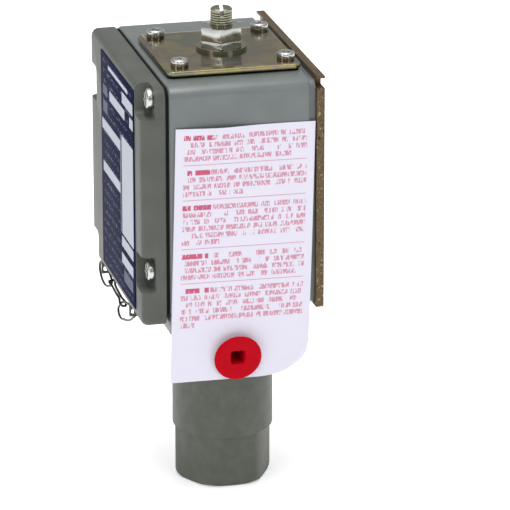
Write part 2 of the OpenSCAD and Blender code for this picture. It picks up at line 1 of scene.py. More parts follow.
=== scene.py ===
# Pressure switch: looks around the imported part. Lengths in the piece dictionaries are millimetres.
import json
import math

import bpy
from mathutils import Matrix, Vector


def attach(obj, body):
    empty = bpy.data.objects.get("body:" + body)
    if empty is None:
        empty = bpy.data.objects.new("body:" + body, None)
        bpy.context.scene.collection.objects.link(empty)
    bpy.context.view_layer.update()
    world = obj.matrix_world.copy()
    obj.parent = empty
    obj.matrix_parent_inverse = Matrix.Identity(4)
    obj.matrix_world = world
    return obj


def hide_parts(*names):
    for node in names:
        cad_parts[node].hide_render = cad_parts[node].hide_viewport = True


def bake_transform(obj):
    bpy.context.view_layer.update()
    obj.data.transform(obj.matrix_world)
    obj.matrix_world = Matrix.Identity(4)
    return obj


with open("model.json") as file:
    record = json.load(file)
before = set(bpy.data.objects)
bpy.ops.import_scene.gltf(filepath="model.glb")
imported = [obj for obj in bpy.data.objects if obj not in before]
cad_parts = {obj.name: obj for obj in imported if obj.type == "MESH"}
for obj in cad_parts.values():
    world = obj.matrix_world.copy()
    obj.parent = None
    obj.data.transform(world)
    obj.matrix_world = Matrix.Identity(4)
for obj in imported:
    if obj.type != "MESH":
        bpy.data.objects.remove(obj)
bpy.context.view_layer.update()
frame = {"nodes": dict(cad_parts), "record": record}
cadNodes = frame["nodes"]
print("stage: frame loaded")


def linearColour(hexText):
    parts = [int(hexText[i:i + 2], 16) / 255 for i in (1, 3, 5)]
    return [p / 12.92 if p <= 0.04045 else ((p + 0.055) / 1.055) ** 2.4 for p in parts] + [1.0]


def addNode(material, kind, settings=None, links=None):
    node = material.node_tree.nodes.new(kind)
    for name, value in (settings or {}).items():
        if isinstance(name, str) and hasattr(node, name):
            setattr(node, name, value)
        else:
            node.inputs[name].default_value = value
    for name, (source, output) in (links or {}).items():
        material.node_tree.links.new(source.outputs[output], node.inputs[name])
    return node


def startMaterial(name, settings):
    material = bpy.data.materials.new(name)
    material.use_nodes = True
    material.node_tree.nodes.clear()
    shader = addNode(material, "ShaderNodeBsdfPrincipled", settings)
    addNode(material, "ShaderNodeOutputMaterial", None, {"Surface": (shader, "BSDF")})
    return material, shader


def perMillimetre(size):
    return 1000.0 / size                      # noise scale for a pattern of this size in mm


def patternOf(material, size, detail=3.0, roughness=0.5):
    place = addNode(material, "ShaderNodeTexCoord")
    return addNode(material, "ShaderNodeTexNoise",
                   {"Scale": perMillimetre(size), "Detail": detail, "Roughness": roughness},
                   {"Vector": (place, "Object")})


def link(material, source, output, target, socket):
    material.node_tree.links.new(source.outputs[output], target.inputs[socket])


def rampOf(material, pattern, stops):
    ramp = addNode(material, "ShaderNodeValToRGB", None, {"Fac": (pattern, "Fac")})
    points = ramp.color_ramp.elements
    while len(points) < len(stops):
        points.new(0.5)
    for point, (place, colour) in zip(points, stops):
        point.position = place
        point.color = colour
    return ramp


def grey(value):
    return [value, value, value, 1.0]


def addBump(material, shader, pattern, strength, depth):
    bump = addNode(material, "ShaderNodeBump", {"Strength": strength, "Distance": depth * 0.001},
                   {"Height": (pattern, "Fac")})
    link(material, bump, "Normal", shader, "Normal")


def makeEnamel(name, dark, pale, roughness, shine):
    # Sprayed grey enamel on die-cast aluminium: satin, with a faint orange peel
    material, shader = startMaterial(name, {"Roughness": roughness, "IOR": 1.5, "Specular IOR Level": shine})
    tone = patternOf(material, 14, 2.0)
    ramp = rampOf(material, tone, [(0.3, linearColour(dark)), (0.7, linearColour(pale))])
    link(material, ramp, "Color", shader, "Base Color")
    addBump(material, shader, patternOf(material, 1.6, 2.0), 0.12, 0.05)
    return material


def makeCastEnamel():
    # Thin enamel over a turned casting: greener and rougher than the enclosure, with small pits
    material, shader = startMaterial("greenGreyEnamel", {
        "Roughness": 0.48, "IOR": 1.5, "Specular IOR Level": 0.4})
    tone = patternOf(material, 6, 4.0, 0.6)
    ramp = rampOf(material, tone, [(0.3, linearColour("#43463d")), (0.7, linearColour("#50534a"))])
    link(material, ramp, "Color", shader, "Base Color")
    addBump(material, shader, patternOf(material, 0.9, 3.0, 0.6), 0.3, 0.08)
    return material


def makeYellowZinc(name, size, colours, roughness, metallic=1.0):
    # Chromated zinc plate: yellow film whose tint drifts to grey, green and rose
    material, shader = startMaterial(name, {"Metallic": metallic})
    film = patternOf(material, size, 4.0, 0.55)
    rampStart, rampSpan = 0.32, 0.36
    steps = [rampStart + rampSpan * i / (len(colours) - 1) for i in range(len(colours))]
    ramp = rampOf(material, film, [(step, linearColour(c)) for step, c in zip(steps, colours)])
    link(material, ramp, "Color", shader, "Base Color")
    rough = rampOf(material, patternOf(material, size * 0.4, 3.0),
                   [(0.3, grey(roughness)), (0.7, grey(roughness + 0.12))])
    link(material, rough, "Color", shader, "Roughness")
    return material


def makeMetal(name, colour, roughness, grain=1.2):
    material, shader = startMaterial(name, {"Base Color": linearColour(colour), "Metallic": 1.0})
    rough = rampOf(material, patternOf(material, grain, 3.0),
                   [(0.3, grey(roughness)), (0.7, grey(roughness + 0.1))])
    link(material, rough, "Color", shader, "Roughness")
    return material


def makePlain(name, colour, roughness, peel=2.0, strength=0.05, more=None):
    settings = {"Base Color": linearColour(colour), "Roughness": roughness, **(more or {})}
    material, shader = startMaterial(name, settings)
    addBump(material, shader, patternOf(material, peel, 2.0), strength, 0.03)
    return material


def mathOf(material, operation, first, second=None):
    node = addNode(material, "ShaderNodeMath", {"operation": operation})
    for socket, value in ((0, first), (1, second)):
        if value is None:
            continue
        if isinstance(value, tuple):
            link(material, value[0], value[1], node, socket)
        else:
            node.inputs[socket].default_value = value
    return (node, "Value")


def times(material, *values):
    product = values[0]
    for value in values[1:]:
        product = mathOf(material, "MULTIPLY", product, value)
    return product


def sumOf(material, values):
    total = values[0]
    for value in values[1:]:
        total = mathOf(material, "ADD", total, value)
    return total


def between(material, value, low, high):
    return times(material, mathOf(material, "GREATER_THAN", value, low),
                 mathOf(material, "LESS_THAN", value, high))


def noiseOf(material, detail, **axes):
    place = addNode(material, "ShaderNodeCombineXYZ", None, axes)
    noise = addNode(material, "ShaderNodeTexNoise", {"Scale": 1.0, "Detail": detail},
                    {"Vector": (place, "Vector")})
    return (noise, "Fac")


def mixInto(material, shader, share, ground, ink):
    mix = addNode(material, "ShaderNodeMix", {"data_type": "RGBA"})
    link(material, share[0], share[1], mix, 0)
    mix.inputs[6].default_value = linearColour(ground)
    mix.inputs[7].default_value = linearColour(ink)
    link(material, mix, 2, shader, "Base Color")


tagFacts = {
    "width": 61.0, "height": 114.0, "x": 46.02, "midY": -2.0, "midZ": 118.3, "lean": 1.5, "thick": 0.2,
    "firstRow": 2.6, "rowPitch": 3.12, "rows": 28, "leftMargin": 3.6, "rightMargin": 57.6,
    "ruleRows": (4, 9, 16, 21), "boldRows": (0, 5, 10, 17, 22), "boldEnd": 16.0,
    "shortRows": {3: 52.0, 8: 30.0, 15: 20.0, 20: 54.0, 27: 10.0},
    "wordsPerMm": 0.34, "wordRowShift": 7.31, "wordShare": 0.4,
    "marksPerMm": 1.75, "markRowShift": 9.7, "markRise": 1.5, "markShare": 0.465, "boldShare": 0.1,
    "letterBand": (0.12, 0.84), "ruleBand": (0.32, 0.44),
    "inkDepth": 0.62, "boldDepth": 0.3, "ruleDepth": 0.55,
    "paper": "#c8c5d2", "ink": "#ad2a55",
    "curlFrom": (2.0, 60.5), "curlTo": (27.4, 80.0), "curlRadius": 12.0,
    "waveHeight": 2.2, "waveFrom": 150, "waveRise": 26, "waveY": -12, "waveWidth": 13, "ripple": 0.25,
    "rippleZ": 17, "rippleY": 40, "holeRadius": 4.7, "cells": (62, 114),
}


def makeTagPaper():
    # Thin coated tag paper: matt, lavender white, with rows of unreadable red print
    f = tagFacts
    material, shader = startMaterial("tagPaper", {"Roughness": 0.55, "IOR": 1.45})
    uv = addNode(material, "ShaderNodeUVMap")
    split = addNode(material, "ShaderNodeSeparateXYZ", None, {"Vector": (uv, "UV")})
    across = times(material, (split, "X"), f["width"])
    down = times(material, mathOf(material, "SUBTRACT", 1.0, (split, "Y")), f["height"])
    place = mathOf(material, "DIVIDE", mathOf(material, "SUBTRACT", down, f["firstRow"]), f["rowPitch"])
    row = mathOf(material, "FLOOR", place)
    within = mathOf(material, "FRACT", place)

    def inRow(number):
        return mathOf(material, "COMPARE", row, float(number))

    rules = sumOf(material, [inRow(number) for number in f["ruleRows"]])
    bold = times(material, sumOf(material, [inRow(number) for number in f["boldRows"]]),
                 mathOf(material, "LESS_THAN", across, f["boldEnd"]))
    cut = sumOf(material, [times(material, inRow(number), mathOf(material, "GREATER_THAN", across, end))
                           for number, end in f["shortRows"].items()])
    body = times(material, between(material, across, f["leftMargin"], f["rightMargin"]),
                 between(material, row, -0.5, f["rows"] - 0.5), mathOf(material, "SUBTRACT", 1.0, cut))
    words = noiseOf(material, 0.0, X=times(material, across, f["wordsPerMm"]),
                    Y=times(material, row, f["wordRowShift"]))
    marks = noiseOf(material, 1.0, X=times(material, across, f["marksPerMm"]),
                    Y=times(material, row, f["markRowShift"]), Z=times(material, within, f["markRise"]))
    floor = mathOf(material, "SUBTRACT", f["markShare"], times(material, bold, f["boldShare"]))
    printed = times(material, mathOf(material, "GREATER_THAN", words, f["wordShare"]),
                    mathOf(material, "GREATER_THAN", marks, floor),
                    between(material, within, *f["letterBand"]),
                    body, mathOf(material, "SUBTRACT", 1.0, rules))
    depth = mathOf(material, "ADD", f["inkDepth"], times(material, bold, f["boldDepth"]))
    ruled = times(material, rules, body, between(material, within, *f["ruleBand"]), f["ruleDepth"])
    ink = mathOf(material, "MAXIMUM", times(material, printed, depth), ruled)
    ink[0].use_clamp = True
    mixInto(material, shader, ink, f["paper"], f["ink"])
    return material


def makePrintedNavy():
    # Anodised aluminium with a dark blue print; small pale marks stand for its data rows
    material, shader = startMaterial("navyPlate", {"Roughness": 0.6, "IOR": 1.3, "Specular IOR Level": 0.04})
    rowPitch, letterBand, markShare, inkDepth = 4.6, (0.3, 0.72), 0.56, 0.4
    left, right, acrossScale, downScale, rowShift = -0.030, 0.0285, 700.0, 900.0, 3.3
    place = addNode(material, "ShaderNodeTexCoord")
    split = addNode(material, "ShaderNodeSeparateXYZ", None, {"Vector": (place, "Object")})
    rowPlace = times(material, (split, "Z"), perMillimetre(rowPitch))
    row = mathOf(material, "FLOOR", rowPlace)
    within = mathOf(material, "FRACT", rowPlace)
    marks = noiseOf(material, 1.0, X=times(material, (split, "X"), acrossScale),
                    Y=times(material, (split, "Z"), downScale), Z=times(material, row, rowShift))
    lit = times(material, mathOf(material, "GREATER_THAN", marks, markShare),
                between(material, within, *letterBand),
                between(material, (split, "X"), left, right), inkDepth)
    mixInto(material, shader, lit, "#0e1534", "#7c8298")
    return material


enamel = makeEnamel("greyEnamel", "#5a605f", "#616766", 0.3, 0.5)
# A darker, duller copy of the housing enamel for the cover: its darker base colour is painted shade on the
# cover
shadedCoverEnamel = makeEnamel("shadedCoverEnamel", "#4c4f4a", "#535651", 0.42, 0.14)
castEnamel = makeCastEnamel()
yellowZinc = makeYellowZinc("yellowZinc", 24, ["#85836a", "#9c9466", "#8d7c6c", "#7c846a", "#a39a6c"], 0.1)
plateZinc = makeYellowZinc("mottledZinc", 1.4, ["#1d150d", "#67553c", "#3b2d1f", "#a08b5e"], 0.42, 0.6)
brownZinc = makeYellowZinc("brownZinc", 34, ["#5c5038", "#6e6143", "#655545", "#6b6749"], 0.3, 0.9)
brightZinc = makeMetal("brightZinc", "#b9bab6", 0.14)
threadZinc = makeMetal("threadZinc", "#8c8b79", 0.2)
chainSteel = makeMetal("chainSteel", "#3f413d", 0.36)
springSteel = makeMetal("springSteel", "#5a5b5f", 0.3)
turnedBrass = makeMetal("turnedBrass", "#c2a25c", 0.24)
greenZinc = makeMetal("greenZinc", "#3f8a55", 0.3)
blackRubber = makePlain("blackRubber", "#0a0a0a", 0.7, more={"Specular IOR Level": 0.12})
phenolic = makePlain("brownPhenolic", "#40241a", 0.42)
redNylon = makePlain("redNylon", "#a8201c", 0.35)
redVinyl = makePlain("redVinyl", "#a60013", 0.5, 3.0, 0.04, {"Specular IOR Level": 0.05})
paleField = makePlain("paleField", "#a4a9b4", 0.5, more={"Specular IOR Level": 0.2})
blueField = makePlain("blueField", "#363e58", 0.5, more={"Specular IOR Level": 0.2})
navyPlate = makePrintedNavy()
tagPaper = makeTagPaper()

slotMaterials = {
    "housing_enamel": enamel, "actuator_enamel": castEnamel, "yellow_zinc": yellowZinc,
    "bright_zinc": brightZinc, "spring_steel": springSteel, "brass": turnedBrass,
    "black_rubber": blackRubber, "printed_plate": navyPlate, "phenolic": phenolic,
    "red_vinyl": redVinyl, "red_nylon": redNylon, "green_zinc": greenZinc, "tag_paper": tagPaper,
}
nodeMaterials = {"mounting_plate": plateZinc, "range_screw": threadZinc, "seal_washer": threadZinc}
for part in frame["record"]["subparts"]:
    node = cadNodes[part["node"]]
    material = nodeMaterials.get(part["node"], slotMaterials[part["material_slot"]])
    if not node.material_slots:
        node.data.materials.append(material)
    for holder in node.material_slots:
        holder.material = material
sheet = cadNodes["mounting_plate"].data
sheet.materials.append(brownZinc)
for face in sheet.polygons:
    if abs(face.normal.y) > 0.9:
        face.material_index = len(sheet.materials) - 1
print("stage: materials made")


def deselectAll():
    if bpy.context.mode != "OBJECT":
        bpy.ops.object.mode_set(mode="OBJECT")
    bpy.ops.object.select_all(action="DESELECT")


def makeActive(piece):
    deselectAll()
    piece.select_set(True)
    bpy.context.view_layer.objects.active = piece


def applyPlace(piece):
    makeActive(piece)
    bpy.ops.object.transform_apply(location=True, rotation=True, scale=True)
    return piece


def addBlock(name, low, high):
    deselectAll()
    bpy.ops.mesh.primitive_cube_add(size=1, location=[(a + b) * 0.0005 for a, b in zip(low, high)])
    piece = bpy.context.object
    piece.name = name
    piece.scale = [(b - a) * 0.001 for a, b in zip(low, high)]
    return applyPlace(piece)


def addRod(name, radius, start, end, sides=64, endRadius=None):
    first, last = Vector(start) * 0.001, Vector(end) * 0.001
    along = last - first
    turn = along.to_track_quat("Z", "Y").to_euler()
    deselectAll()
    if endRadius is None:
        bpy.ops.mesh.primitive_cylinder_add(vertices=sides, radius=radius * 0.001, depth=along.length,
                                            location=(first + last) / 2, rotation=turn)
    else:
        bpy.ops.mesh.primitive_cone_add(vertices=sides, radius1=radius * 0.001, radius2=endRadius * 0.001,
                                        depth=along.length, location=(first + last) / 2, rotation=turn)
    piece = bpy.context.object
    piece.name = name
    return applyPlace(piece)


def combine(piece, tool, how):
    change = piece.modifiers.new("combine", "BOOLEAN")
    change.operation = how
    change.object = tool
    change.solver = "EXACT"
    makeActive(piece)
    bpy.ops.object.modifier_apply(modifier=change.name)
    bpy.data.objects.remove(tool, do_unlink=True)
    return piece


def cut(piece, tool):
    return combine(piece, tool, "DIFFERENCE")


def unite(piece, tool):
    return combine(piece, tool, "UNION")


def bevelWhere(piece, test, width, segments):
    makeActive(piece)
    bpy.ops.object.mode_set(mode="EDIT")
    bpy.ops.mesh.select_mode(type="EDGE")
    bpy.ops.mesh.select_all(action="DESELECT")
    bpy.ops.object.mode_set(mode="OBJECT")
    points = piece.data.vertices
    for edge in piece.data.edges:
        a, b = [points[i].co * 1000 for i in edge.vertices]
        edge.select = test(a, b)
    bpy.ops.object.mode_set(mode="EDIT")
    bpy.ops.mesh.bevel(offset=width * 0.001, segments=segments, affect="EDGES", profile=0.5)
    bpy.ops.object.mode_set(mode="OBJECT")
    return piece


def softenEdges(piece, width, segments=2, angle=38):
    change = piece.modifiers.new("softEdges", "BEVEL")
    change.width = width * 0.001
    change.segments = segments
    change.limit_method = "ANGLE"
    change.angle_limit = math.radians(angle)
    makeActive(piece)
    bpy.ops.object.modifier_apply(modifier=change.name)
    return piece


def alongAxis(axis):
    # Edges that run along one axis
    others = [i for i in range(3) if i != axis]
    return lambda a, b: abs(a[axis] - b[axis]) > 0.5 and all(abs(a[i] - b[i]) < 0.01 for i in others)


def atPlace(axis, place):
    # Edges that lie in one plane across an axis
    return lambda a, b: abs(a[axis] - place) < 0.02 and abs(b[axis] - place) < 0.02


def joinAll(name, pieces):
    deselectAll()
    for piece in pieces:
        piece.select_set(True)
    bpy.context.view_layer.objects.active = pieces[0]
    if len(pieces) > 1:
        bpy.ops.object.join()
    pieces[0].name = name
    return pieces[0]


def isLevel(a, b):
    return abs(a.z - b.z) < 0.01


def finishPiece(piece, name, body, slotName, replaced=(), material=None, angle=35):
    piece.name = name
    if material is not False:
        piece.data.materials.clear()
        piece.data.materials.append(material or slotMaterials[slotName])
    applyPlace(piece)
    bpy.ops.object.shade_smooth_by_angle(angle=math.radians(angle))
    if body:
        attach(piece, body)
    if replaced:
        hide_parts(*replaced)
    return piece


housingFacts = {
    "left": -58.5, "right": 45.5, "front": -33.6, "back": 30.4, "floor": 90.5, "top": 193.3, "corner": 5.0,
    "backSoft": 0.7, "frontSoft": 1.1, "wall": 3.2, "backWall": 5.0, "rebateIn": 1.4, "rebateDepth": 2.6,
    "lipZ": 83.0, "lipDepth": 9.0,
    "hubRadius": 15.0, "hubLength": 8.0, "hubY": 2.0, "hubZ": 130.3, "conduitRadius": 10.4,
    "bossSide": 13.0, "bossLength": 15.0, "bossHole": 2.0, "bossHoleDepth": 13.0,
    "postX": 32.0, "postZ": 136.0, "postRadius": 4.0, "postFront": -11.3, "postHole": 1.7,
    "topScrewX": 23.3, "topScrewY": (-23.9, 22.7), "topBossRadius": 4.5, "topHole": 1.95,
    "bushingHole": 8.1, "neckHole": 13.2,
}
coverScrews = ((38.8, 187.7), (38.8, 111.0), (-51.8, 169.6), (-51.8, 92.9))


def alongY(name, radius, x, z, start, end, sides):
    return addRod(name, radius, (x, start, z), (x, end, z), sides)


def alongZ(name, radius, x, y, start, end, sides=64):
    return addRod(name, radius, (x, y, start), (x, y, end), sides)


def makeHousing():
    f = housingFacts
    step, shoulder = f["rebateIn"], f["back"] - f["rebateDepth"]
    shell = addBlock("shell", (f["left"], f["front"], f["floor"]), (f["right"], shoulder, f["top"]))
    bevelWhere(shell, alongAxis(1), f["corner"], 8)
    bevelWhere(shell, atPlace(1, shoulder), f["backSoft"], 3)
    bevelWhere(shell, atPlace(1, f["front"]), f["frontSoft"], 4)
    rear = addBlock("rear", (f["left"] + step, shoulder - 2, f["floor"] + step),
                    (f["right"] - step, f["back"], f["top"] - step))
    bevelWhere(rear, alongAxis(1), f["corner"] - step, 8)
    unite(shell, rear)
    lip = addBlock("lip", (f["left"] + 1, f["front"] + 0.05, f["lipZ"]),
                   (f["right"] - 0.2, f["front"] + f["lipDepth"], f["floor"] + 1.5))
    softenEdges(lip, 0.8, 2)
    unite(shell, lip)
    hub = addRod("hub", f["hubRadius"], (f["left"] + 2, f["hubY"], f["hubZ"]),
                 (f["left"] - f["hubLength"], f["hubY"], f["hubZ"]))
    softenEdges(hub, 0.8, 2)
    unite(shell, hub)
    cavity = addBlock("cavity", (f["left"] + f["wall"], f["front"] - 1, f["floor"] + f["wall"]),
                      (f["right"] - f["wall"], f["back"] - f["backWall"], f["top"] - f["wall"]))
    half = f["bossSide"] / 2
    for x, z in coverScrews:
        cut(cavity, addBlock("boss", (x - half, f["front"] - 2, z - half),
                             (x + half, f["front"] + f["bossLength"], z + half)))
    for side in (-1, 1):
        cut(cavity, alongY("post", f["postRadius"], side * f["postX"], f["postZ"],
                           f["postFront"], f["back"], 32))
        for y in f["topScrewY"]:
            cut(cavity, alongZ("topBoss", f["topBossRadius"], side * f["topScrewX"], y,
                               f["top"] - 9.2, f["top"], 32))
    cut(shell, cavity)
    for x, z in coverScrews:
        cut(shell, alongY("hole", f["bossHole"], x, z, f["front"] - 2, f["front"] + f["bossHoleDepth"], 24))
    for side in (-1, 1):
        cut(shell, alongY("hole", f["postHole"], side * f["postX"], f["postZ"],
                          f["postFront"] - 2, f["postFront"] + 10, 24))
        for y in f["topScrewY"]:
            cut(shell, alongZ("hole", f["topHole"], side * f["topScrewX"], y,
                              f["top"] - 11, f["top"] + 1, 24))
    cut(shell, alongZ("hole", f["bushingHole"], 0, 0, f["top"] - 8, f["top"] + 2))
    cut(shell, alongZ("hole", f["neckHole"], 0, 0, f["floor"] - 2, f["floor"] + 6))
    cut(shell, addRod("hole", f["conduitRadius"], (f["left"] - 12, f["hubY"], f["hubZ"]),
                      (f["left"] + 6, f["hubY"], f["hubZ"])))
    finishPiece(shell, "housingShell", "root", "housing_enamel", ["housing"])


coverFacts = {
    "left": -58.5, "right": 45.5, "back": -35.0, "front": -45.7, "low": 87.3, "high": 193.3, "corner": 5.0,
    "frontRadius": 3.0, "backSoft": 0.7, "wall": 2.8, "rim": 3.2, "pocketWidth": 12.5, "pocketHeight": 16.0,
    "pocketFloor": -39.5, "pocketRadius": 2.6, "pocketFillet": 1.2, "screwHole": 2.2,
    "lugs": (-45.0, 13.0), "lugThick": 1.6, "lugFront": -44.7, "lugLow": 81.5, "lugHigh": 88.6,
    "eyeRadius": 1.5, "eyeY": -42.5, "eyeZ": 83.9,
}


def makeCover():
    f = coverFacts
    plate = addBlock("plate", (f["left"], f["front"], f["low"]), (f["right"], f["back"], f["high"]))
    bevelWhere(plate, alongAxis(1), f["corner"], 8)
    bevelWhere(plate, atPlace(1, f["front"]), f["frontRadius"], 5)
    bevelWhere(plate, atPlace(1, f["back"]), f["backSoft"], 3)
    half = f["pocketHeight"] / 2
    for x, z in coverScrews:
        side = 1 if x > 0 else -1
        outer = f["right"] if side > 0 else f["left"]
        ends = sorted((outer - side * f["pocketWidth"], outer + side * 6))
        pocket = addBlock("pocket", (ends[0], f["front"] - 4, z - half),
                          (ends[1], f["pocketFloor"], z + half))
        bevelWhere(pocket, alongAxis(1), f["pocketRadius"], 5)
        bevelWhere(pocket, atPlace(1, f["pocketFloor"]), f["pocketFillet"], 3)
        cut(plate, pocket)
    softenEdges(plate, 0.7, 3, 42)
    inset = f["pocketWidth"] + 3
    cut(plate, addBlock("inside", (f["left"] + inset, f["front"] + f["wall"], f["low"] + f["rim"]),
                        (f["right"] - inset, f["back"] + 1, f["high"] - f["rim"])))
    for x, z in coverScrews:
        cut(plate, alongY("hole", f["screwHole"], x, z, f["front"] - 2, f["back"] + 2, 24))
    for x in f["lugs"]:
        lug = addBlock("lug", (x - f["lugThick"] / 2, f["lugFront"], f["lugLow"]),
                       (x + f["lugThick"] / 2, f["back"] - 0.05, f["lugHigh"]))
        softenEdges(lug, 0.4, 2)
        cut(lug, addRod("hole", f["eyeRadius"], (x - 3, f["eyeY"], f["eyeZ"]),
                        (x + 3, f["eyeY"], f["eyeZ"]), 24))
        unite(plate, lug)
    # The cover takes the darker enamel copy, whose darker tone is painted shade
    finishPiece(plate, "coverShell", "cover", "housing_enamel", ["cover"], shadedCoverEnamel)


plateFacts = {
    "left": -34.0, "right": 32.2, "low": 91.6, "high": 189.6, "back": -45.7, "front": -46.15, "corner": 1.5,
    "fields": ((-16.0, 14.6, 171.1, 175.6), (9.5, 30.7, 177.8, 182.8), (24.2, 30.9, 171.1, 175.8),
               (-31.7, 5.0, 154.6, 159.4), (-30.2, 4.6, 135.4, 140.0), (8.0, 30.6, 118.4, 163.0),
               (7.0, 29.8, 112.4, 117.0), (6.6, 29.4, 104.7, 109.3), (5.4, 5.9, 118.4, 163.0),
               (-18.6, 21.0, 184.6, 186.4)),
    "blueFields": ((10.9, 28.6, 97.4, 102.6), (-29.5, -20.5, 163.0, 168.4), (-29.5, -20.5, 171.0, 175.4)),
}


def makeNameplate():
    f = plateFacts
    plate = addBlock("plate", (f["left"], f["front"], f["low"]), (f["right"], f["back"], f["high"]))
    bevelWhere(plate, alongAxis(1), f["corner"], 5)
    softenEdges(plate, 0.12, 2)
    plate.data.materials.append(navyPlate)
    pieces = [plate]
    for material, boxes in ((paleField, f["fields"]), (blueField, f["blueFields"])):
        for left, right, low, high in boxes:
            field = addBlock("field", (left, f["front"] - 0.05, low), (right, f["front"] + 0.1, high))
            field.data.materials.append(material)
            pieces.append(field)
    plate = joinAll("nameplatePrinted", pieces)
    finishPiece(plate, "nameplatePrinted", "cover", "printed_plate", ["nameplate"], False)


def makePanScrew(headRadius, headHeight, shankRadius, shankLength):
    # Pan head with a cross slot, standing along +Z with its seat at the origin
    head = addRod("head", headRadius, (0, 0, 0), (0, 0, headHeight), 48)
    bevelWhere(head, atPlace(2, headHeight), headHeight * 0.42, 6)
    bevelWhere(head, atPlace(2, 0), 0.2, 2)
    halfWidth, halfLength, slotFloor = headRadius * 0.13, headRadius * 0.625, headHeight * 0.5
    for turn in (20, 110):
        slot = addBlock("slot", (-halfLength, -halfWidth, slotFloor), (halfLength, halfWidth, headHeight + 1))
        slot.rotation_euler = (0, 0, math.radians(turn))
        cut(head, applyPlace(slot))
    softenEdges(head, 0.12, 2, 50)
    return unite(head, addRod("shank", shankRadius, (0, 0, 0.3), (0, 0, -shankLength), 24))


def placeCopy(source, place, turn):
    copy = source.copy()
    copy.data = source.data.copy()
    bpy.context.scene.collection.objects.link(copy)
    copy.location = Vector(place) * 0.001
    copy.rotation_euler = [math.radians(t) for t in turn]
    return applyPlace(copy)


screwFacts = {
    "cover": {"headRadius": 4.6, "headHeight": 3.0, "shankRadius": 1.95, "shankLength": 17.0},
    "top": {"headRadius": 3.8, "headHeight": 2.5, "shankRadius": 1.9, "shankLength": 11.0},
    "topSeat": 197.3, "topTurn": 31,
}


def makeScrews():
    f, screwX = screwFacts, housingFacts["topScrewX"]
    pan = makePanScrew(**f["cover"])
    copies = [placeCopy(pan, (x, coverFacts["pocketFloor"], z), (90, 0, 0)) for x, z in coverScrews]
    bpy.data.objects.remove(pan, do_unlink=True)
    finishPiece(joinAll("coverScrewSet", copies), "coverScrewSet", "cover", "bright_zinc", ["cover_screws"])
    pan = makePanScrew(**f["top"])
    places = [(x, y, f["topSeat"]) for x in (-screwX, screwX) for y in housingFacts["topScrewY"]]
    copies = [placeCopy(pan, place, (0, 0, f["topTurn"] * i)) for i, place in enumerate(places)]
    bpy.data.objects.remove(pan, do_unlink=True)
    finishPiece(joinAll("topScrewSet", copies), "topScrewSet", "root", "bright_zinc", ["top_screws"])


nutFacts = {"flats": 17.1, "low": 197.82, "split": 200.9, "high": 206.7, "turn": 16.0, "bore": 4.82,
            "halfGap": 0.05, "outside": 0.05, "chamfer": 0.75}


def makeNut():
    f = nutFacts
    corner = f["flats"] / 2 / math.cos(math.radians(30))
    parts = []
    for low, high in ((f["low"], f["split"] - f["halfGap"]), (f["split"] + f["halfGap"], f["high"])):
        prism = addRod("prism", corner, (0, 0, low), (0, 0, high), 6)
        prism.rotation_euler = (0, 0, math.radians(f["turn"]))
        applyPlace(prism)
        disc = addRod("disc", corner + f["outside"], (0, 0, low), (0, 0, high), 96)
        bevelWhere(disc, isLevel, f["chamfer"], 2)
        combine(prism, disc, "INTERSECT")
        cut(prism, addRod("bore", f["bore"], (0, 0, low - 1), (0, 0, high + 1), 48))
        softenEdges(prism, 0.12, 2, 30)
        parts.append(prism)
    finishPiece(joinAll("lockNutHex", parts), "lockNutHex", "lock_nut", "bright_zinc", ["lock_nut"], None, 25)


topFacts = {"midX": 1.6, "midY": -1.8, "width": 61.0, "depth": 58.5, "low": 194.5, "high": 196.4,
            "corner": 3.0, "soft": 0.5, "stemHole": 8.1, "screwHole": 2.2}


def makeTopPlate():
    f = topFacts
    halfWidth, halfDepth = f["width"] / 2, f["depth"] / 2
    plate = addBlock("plate", (f["midX"] - halfWidth, f["midY"] - halfDepth, f["low"]),
                     (f["midX"] + halfWidth, f["midY"] + halfDepth, f["high"]))
    bevelWhere(plate, alongAxis(2), f["corner"], 6)
    bevelWhere(plate, atPlace(2, f["high"]), f["soft"], 3)
    cut(plate, alongZ("hole", f["stemHole"], 0, 0, f["low"] - 1, f["high"] + 1, 48))
    for side in (-1, 1):
        for y in housingFacts["topScrewY"]:
            cut(plate, alongZ("hole", f["screwHole"], side * housingFacts["topScrewX"], y,
                              f["low"] - 1, f["high"] + 1, 24))
    finishPiece(plate, "topPlateSheet", "root", "yellow_zinc", ["top_plate"])


actuatorFacts = {
    "radius": 22.22, "flats": 38.1, "hexRound": 21.4, "hexTop": 23.7, "mouthBevel": 2.6, "barrelSoft": 0.8,
    "flangeZ": 82.0, "flangeRadius": 24.0, "flangeTop": 89.7, "neckRadius": 13.0, "neckTop": 101.0,
    "portRadius": 5.6, "portDepth": 14.0, "passRadius": 3.0, "boreRadius": 6.4, "boreTop": 77.6,
    "rodRadius": 4.0, "rodTop": 87.0, "guideRadius": 8.02, "guideLow": 86.0,
    "bossRadius": 9.8, "bossX": 45.6, "drainY": -4.6, "drainZ": 71.6, "drainRadius": 4.25,
}


